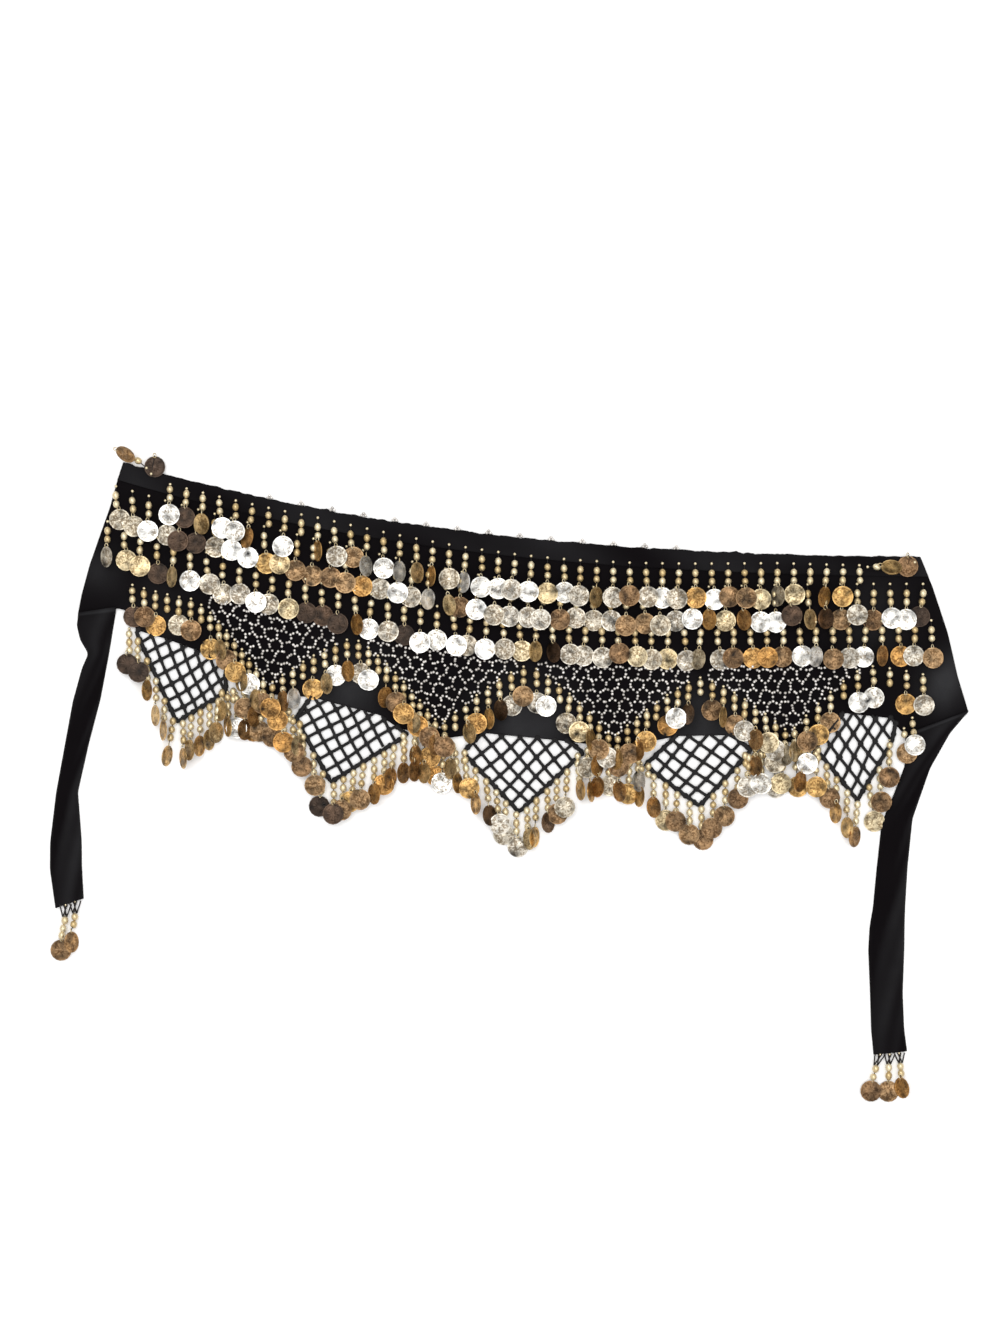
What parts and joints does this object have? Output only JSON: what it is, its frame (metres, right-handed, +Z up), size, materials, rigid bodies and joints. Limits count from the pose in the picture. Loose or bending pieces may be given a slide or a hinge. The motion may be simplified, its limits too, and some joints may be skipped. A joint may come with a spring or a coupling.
{
  "type": "belly dance hip scarf",
  "caption": "Black velvet hip scarf laid flat, with rows of hanging coins, a beaded zigzag edge, pointed crochet nets and long ties.",
  "frame": {"origin": "on the underside of the main panel, on the surface that the scarf lies on, near the middle of the band", "axes": "+X along the scarf from its left tie to its right tie, +Y towards the waist edge, +Z up out of its face"},
  "size_m": [0.7808, 0.5585, 0.0099],
  "materials": {
    "velvet": "short-pile black velvet, matt with a soft charcoal sheen",
    "tie_velvet": "doubled black velvet strip with a charcoal sheen",
    "net_cord": "black crocheted cord",
    "seed_beads": "small silvery glass beads",
    "coins": "thin stamped coins, silver-white to antique gold, on champagne-gold beads"
  },
  "bodies": {
    "root": {"beadwork_1": "seed_beads", "beadwork_2": "seed_beads", "beadwork_3": "seed_beads", "beadwork_4": "seed_beads", "coin_row_1": "coins", "coin_row_2": "coins", "coin_row_3": "coins", "corner_coins_left": "coins", "corner_coins_right": "coins", "edge_fringe_1": "coins", "edge_fringe_2": "coins", "edge_fringe_3": "coins", "edge_fringe_4": "coins", "edge_fringe_5": "coins", "end_fringe_right": "coins", "hem_fringe_1": "coins", "hem_fringe_2": "coins", "hem_fringe_3": "coins", "hem_fringe_4": "coins", "hem_fringe_5": "coins", "net_1": "net_cord", "net_2": "net_cord", "net_3": "net_cord", "net_4": "net_cord", "net_5": "net_cord", "panel": "velvet", "tassel_left": "coins", "tassel_right": "coins", "tie_left": "tie_velvet", "tie_right": "tie_velvet", "waistband": "velvet"}
  },
  "joints": []
}
